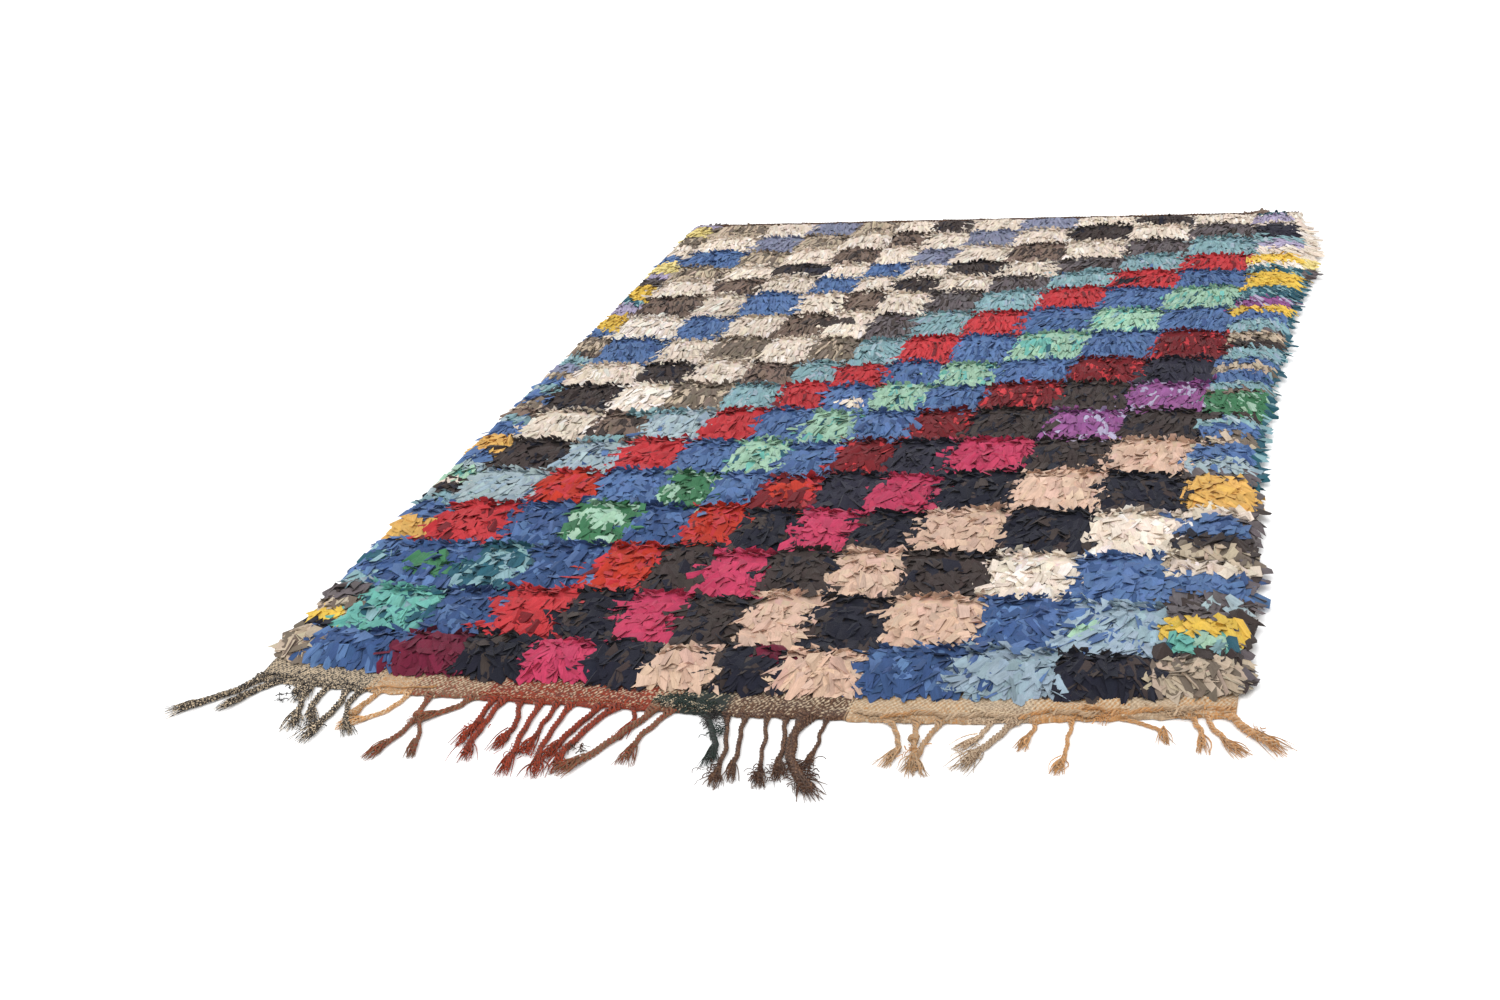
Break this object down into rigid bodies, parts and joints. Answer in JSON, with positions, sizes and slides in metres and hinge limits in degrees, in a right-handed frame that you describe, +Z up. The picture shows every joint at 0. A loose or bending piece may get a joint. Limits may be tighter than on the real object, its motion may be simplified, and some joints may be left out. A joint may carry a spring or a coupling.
{
  "type": "boucherouite rug",
  "caption": "Flat shaggy rug of knotted rag strips in diagonal bands of blocks, with one bare woven end and a loose warp fringe.",
  "frame": {"origin": "on the flat underside, under the middle of the pile", "axes": "+Z up out of the pile, +Y along the rug from its fringed end to its plain end, +X across it"},
  "size_m": [1.4874, 2.308, 0.0287],
  "materials": {
    "rag_pile": "matte cut rags in many colours",
    "ground_weave": "matte marled wool weave",
    "warp_yarn": "matte twisted wool"
  },
  "bodies": {
    "root": {"rug": "rag_pile", "fringe": "warp_yarn"}
  },
  "joints": []
}
